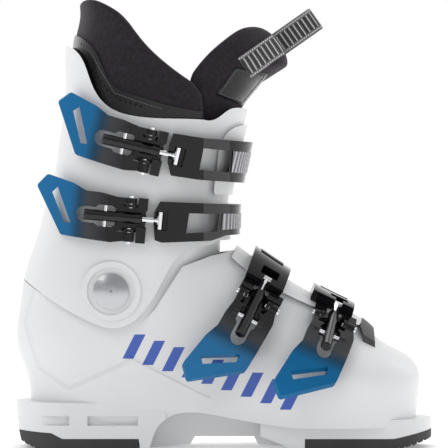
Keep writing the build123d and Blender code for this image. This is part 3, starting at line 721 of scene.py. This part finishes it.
# %% The leather patch on the tongue
find_tongue = surface_of(tongue)
PATCH_TOP, PATCH_FOOT = ((8, 250), (29, 246)), ((-5, 232), (12, 225.5))
PATCH_STEPS, PATCH_THICK, PATCH_LIFT, STITCH_INSET = 10, 0.8, 0.15, 0.14
patch_points = []
for row in range(PATCH_STEPS + 1):
    part = row / PATCH_STEPS
    left = Vector(PATCH_TOP[0]).lerp(Vector(PATCH_FOOT[0]), part)
    right = Vector(PATCH_TOP[1]).lerp(Vector(PATCH_FOOT[1]), part)
    for column in range(PATCH_STEPS + 1):
        spot = left.lerp(right, column / PATCH_STEPS)
        point, normal = find_tongue(spot.x, spot.y)
        patch_points.append(point + normal * PATCH_LIFT * MM)
patch_columns = PATCH_STEPS + 1
patch = new_mesh_object("tongue_patch", patch_points, grid_faces(patch_columns, patch_columns))
thicken(patch, PATCH_THICK)
wear(patch, trim_leather)
border = [PATCH_TOP[0], PATCH_TOP[1], PATCH_FOOT[1], PATCH_FOOT[0], PATCH_TOP[0]]
middle = Vector((sum(x for x, _ in border[:4]) / 4, sum(z for _, z in border[:4]) / 4))
inset = [Vector(corner).lerp(middle, STITCH_INSET) for corner in border]
stitch_line = along_curve(inset, PATCH_STITCHES)
patch_stitches = lay("patch_stitches", surface_of(patch), stitch_line, stitch, lift_mm=0.5)
wear(patch_stitches, thread)
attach(patch, "cuff")
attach(patch_stitches, "cuff")
patch_size = laid_size(patch, patch_columns)
print("patch in mm:", [round(side / MM, 1) for side in patch_size])

# %% [markdown]
# ## The webbing loop
# The pull loop is one length of narrow webbing folded over a finger's width and sewn to the tongue.
# It is woven, with raised dark bars across, thin pale lines between them and a running pale dash
# near each edge. The ribbon is built along its own length, so the pattern follows the fold.


# %% Webbing
def mark_weave(piece, places):
    """Give every point of the webbing its place along it and across it, in mm."""
    layer = piece.data.uv_layers.new(name="weave")
    for corner in piece.data.loops:
        layer.data[corner.index].uv = places[corner.vertex_index]


LOOP_AT, LOOP_RISE = Vector((19, 0, 253.7)), math.radians(35)
LEG_START, LEG_END, LOOP_RADIUS, LOOP_WIDE, LOOP_THICK = 6.0, 43.5, 7.4, 16.0, 1.5
loop_along = Vector((math.cos(LOOP_RISE), 0, math.sin(LOOP_RISE)))
loop_across = Vector((-loop_along.z, 0, loop_along.x))
LEG_STEPS, TURN_STEPS, WIDE_STEPS = 40, 24, 16
# The ribbon's edges are this much thinner, over the last EDGE_WIDE mm
EDGE_THINNER, EDGE_WIDE = 0.7, 0.1
leg_length = LEG_END - LEG_START
path = [(LEG_START + leg_length * step / LEG_STEPS, -LOOP_RADIUS, (0, -1)) for step in range(LEG_STEPS)]
for step in range(TURN_STEPS + 1):
    turn = -math.pi / 2 + math.pi * step / TURN_STEPS
    out = (math.cos(turn), math.sin(turn))
    path.append((LEG_END + LOOP_RADIUS * out[0], LOOP_RADIUS * out[1], out))
path += [(LEG_END - leg_length * step / LEG_STEPS, LOOP_RADIUS, (0, 1)) for step in range(1, LEG_STEPS + 1)]
loop_points, loop_places, run, previous = [], [], 0.0, None
ring_size = 2 * (WIDE_STEPS + 1)
for s_at, y_at, (out_s, out_y) in path:
    if previous:
        run += math.hypot(s_at - previous[0], y_at - previous[1])
    previous = (s_at, y_at)
    for side in (1, -1):
        for step in range(WIDE_STEPS + 1):
            across_at = LOOP_WIDE * (step / WIDE_STEPS - 0.5) * side
            edge = 1 - EDGE_THINNER * (abs(across_at) > LOOP_WIDE / 2 - EDGE_WIDE)
            lift = side * LOOP_THICK / 2 * edge
            place = (LOOP_AT + loop_along * (s_at + out_s * lift) + Vector((0, y_at + out_y * lift, 0))
                     + loop_across * across_at)
            loop_points.append(place * MM)
            loop_places.append((run, across_at))
last = (len(path) - 1) * ring_size
loop_ends = [tuple(reversed(range(ring_size))), tuple(range(last, last + ring_size))]
loop_faces = grid_faces(len(path), ring_size, closed=True) + loop_ends
loop = new_mesh_object("webbing_loop", loop_points, loop_faces)
mark_weave(loop, loop_places)
print("webbing length in mm:", round(run, 1))


# The weave in mm: dark bars and pale lines across the middle, and a row of dashes near each edge
WEAVE_PITCH, WEAVE_HALF = 3.4, 5.3
DARK_BAR, PALE_LINE = (0.08, 0.62), (0.74, 0.88)
DASH_BAND, DASH_PITCH, DASH_PART = (6.15, 6.85), 1.7, 0.62
BAR_SHADE, PALE_SHADE = 0.12, 0.66
WEAVE_TONES = ((0.0, (0.13, 0.125, 0.125)), (BAR_SHADE, (0.022, 0.02, 0.02)),
               (PALE_SHADE, (0.62, 0.62, 0.62)))
RIB_TURNS, RIB_HEIGHT = 14.0, 0.15


def webbing():
    """Dark ribbed webbing: the weave's u runs along it and v across it, both in mm."""
    made = finish("loop_webbing", (0.03, 0.03, 0.032), 0.7)

    def times(first, second):
        return math_node(made, "MULTIPLY", first, second)

    def part_of(value, pitch):
        return math_node(made, "FRACT", math_node(made, "DIVIDE", value, pitch))

    weave = axes_of(made, node(made, "ShaderNodeUVMap", uv_map="weave").outputs[0])
    off_middle = math_node(made, "ABSOLUTE", weave["Y"])
    inner = math_node(made, "LESS_THAN", off_middle, WEAVE_HALF)
    along = part_of(weave["X"], WEAVE_PITCH)
    bar = times(within(made, along, *DARK_BAR), inner)
    pale_line = times(within(made, along, *PALE_LINE), inner)
    dashes = math_node(made, "LESS_THAN", part_of(weave["X"], DASH_PITCH), DASH_PART)
    pale = math_node(made, "MAXIMUM", pale_line, times(within(made, off_middle, *DASH_BAND), dashes))
    tone = math_node(made, "ADD", times(pale, PALE_SHADE), times(bar, BAR_SHADE))
    paint(made, ramp(made, tone, *WEAVE_TONES))
    ribs = math_node(made, "SINE", times(weave["X"], RIB_TURNS))
    bump(made, math_node(made, "ADD", times(ribs, RIB_HEIGHT), bar), 0.7, 0.3)
    return made


weave_finish = webbing()
wear(loop, weave_finish)
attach(loop, "cuff")
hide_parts("pull_loop")

# The same webbing is sewn flat over the tongue's outer side, in line with the loop
TAIL_FROM, TAIL_TO, TAIL_STEPS, TAIL_ROWS = -7.0, 20.0, 24, 10
TAIL_LIFT, TAIL_THICK, TAIL_NARROWER = 0.5, 1.0, 1
tail_points, tail_places = [], []
for step in range(TAIL_STEPS + 1):
    run_at = TAIL_FROM + (TAIL_TO - TAIL_FROM) * step / TAIL_STEPS
    for row in range(TAIL_ROWS + 1):
        across_at = (LOOP_WIDE - TAIL_NARROWER) * (row / TAIL_ROWS - 0.5)
        spot = LOOP_AT + loop_along * run_at + loop_across * across_at
        point, normal = find_tongue(spot.x, spot.z)
        tail_points.append(point + normal * TAIL_LIFT * MM)
        tail_places.append((run_at - TAIL_FROM, across_at))
tail_columns = TAIL_ROWS + 1
tail = new_mesh_object("webbing_tail", tail_points, grid_faces(TAIL_STEPS + 1, tail_columns))
mark_weave(tail, tail_places)
thicken(tail, TAIL_THICK)
wear(tail, weave_finish)
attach(tail, "cuff")
tail_size = laid_size(tail, tail_columns)
print("sewn webbing in mm:", [round(side / MM, 1) for side in tail_size])
